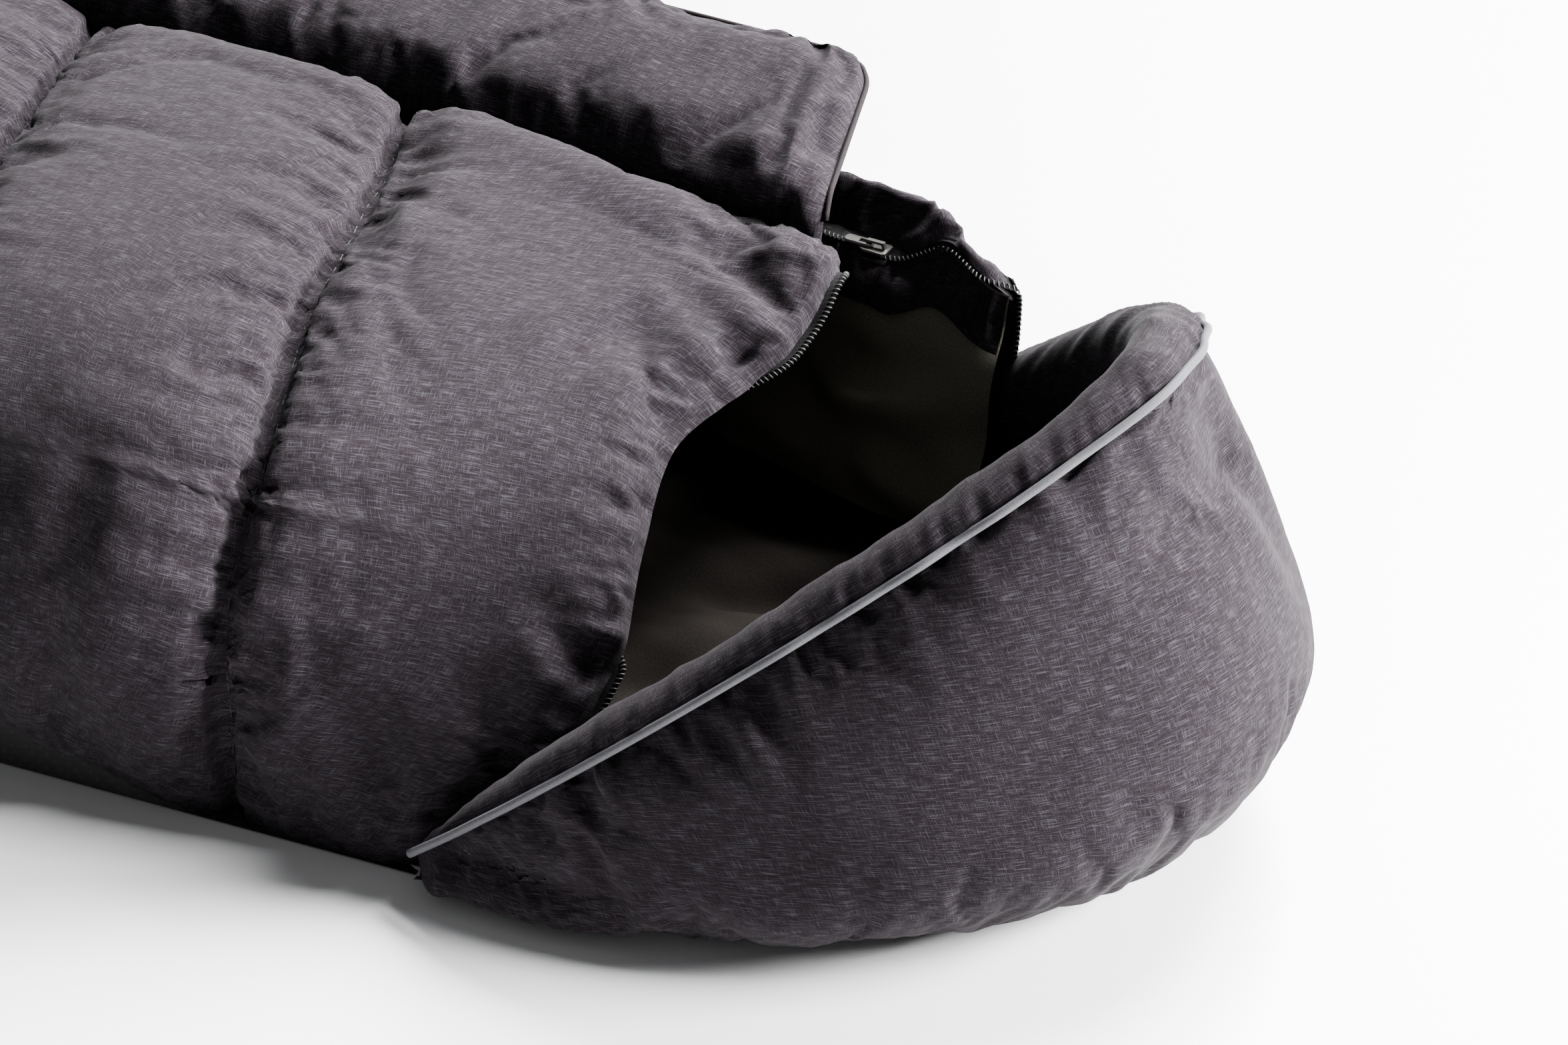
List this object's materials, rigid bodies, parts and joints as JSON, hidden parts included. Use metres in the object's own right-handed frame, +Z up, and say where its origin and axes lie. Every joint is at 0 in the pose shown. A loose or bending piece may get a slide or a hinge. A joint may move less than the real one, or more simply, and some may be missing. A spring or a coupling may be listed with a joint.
{
  "type": "hooded padded footmuff",
  "caption": "Padded zip-up bag for a small child, with a quilted front panel, a wind flap over the side zip and a deep piped hood.",
  "frame": {"origin": "on the underside, on the bag's centre line, 84 mm from the neck line towards the hood", "axes": "+X along the bag towards the hood, -Y towards the hinged near side, +Z up"},
  "size_m": [0.9517, 0.4665, 0.2356],
  "materials": {
    "melange_cloth": "dark grey melange weave, matt",
    "lining_cloth": "plain dark olive-black lining, matt",
    "underside_cloth": "dark cloth with small raised non-slip dots",
    "wadding": "white polyester wadding",
    "piping": "pale grey reflective cord piping",
    "zip_tape": "black woven tape",
    "zip_coil": "black nylon coil, slightly shiny",
    "elastic": "round elastic cord",
    "slider_metal": "dark gunmetal lacquer",
    "label": "plain white slip"
  },
  "bodies": {
    "bag": {"near_wall_outer": "melange_cloth", "near_wall_wadding": "wadding", "near_wall_lining": "lining_cloth", "foot_wall_outer": "melange_cloth", "foot_wall_wadding": "wadding", "foot_wall_lining": "lining_cloth", "far_wall_outer": "melange_cloth", "far_wall_wadding": "wadding", "far_wall_lining": "lining_cloth", "hood_outer": "melange_cloth", "hood_wadding": "wadding", "hood_lining": "melange_cloth", "underside_panel": "underside_cloth", "back_wadding": "wadding", "back_lining": "lining_cloth", "hood_underside": "underside_cloth", "hood_mat_wadding": "wadding", "hood_mat_lining": "melange_cloth", "hood_rim_roll": "melange_cloth", "hood_elastic": "elastic", "hood_piping": "piping", "wall_zip_tape": "zip_tape", "wall_zip_coil": "zip_coil", "near_zip_tape": "zip_tape", "near_zip_coil": "zip_coil", "care_label": "label"},
    "front_panel": {"front_panel_outer": "melange_cloth", "front_panel_wadding": "wadding", "front_panel_lining": "lining_cloth", "panel_zip_tape": "zip_tape", "panel_zip_coil": "zip_coil"},
    "wind_flap": {"wind_flap_outer": "melange_cloth", "wind_flap_wadding": "wadding", "wind_flap_lining": "lining_cloth", "flap_piping": "piping"},
    "zip_slider": {"zip_slider": "slider_metal"},
    "zip_pull": {"zip_pull": "slider_metal"}
  },
  "joints": [
    {"name": "panel_hinge", "type": "hinge", "parent": "bag", "child": "front_panel", "pos_m": [-0.3, -0.18545, 0.088], "axis": [0.9977, 0.0672, 0], "range_deg": [0, 150]},
    {"name": "flap_hinge", "type": "hinge", "parent": "front_panel", "child": "wind_flap", "pos_m": [-0.3, 0.14465, 0.17], "axis": [0.9977, -0.0672, 0], "range_deg": [-8, 110]},
    {"name": "slider_slide", "type": "slide", "parent": "bag", "child": "zip_slider", "axis": [-0.9977, 0.0672, 0], "range_m": [0, 0.5]},
    {"name": "pull_hinge", "type": "hinge", "parent": "zip_slider", "child": "zip_pull", "pos_m": [-0.0282, 0.14625, 0.1516], "axis": [0.0672, 0.9977, 0], "range_deg": [0, 140]}
  ]
}
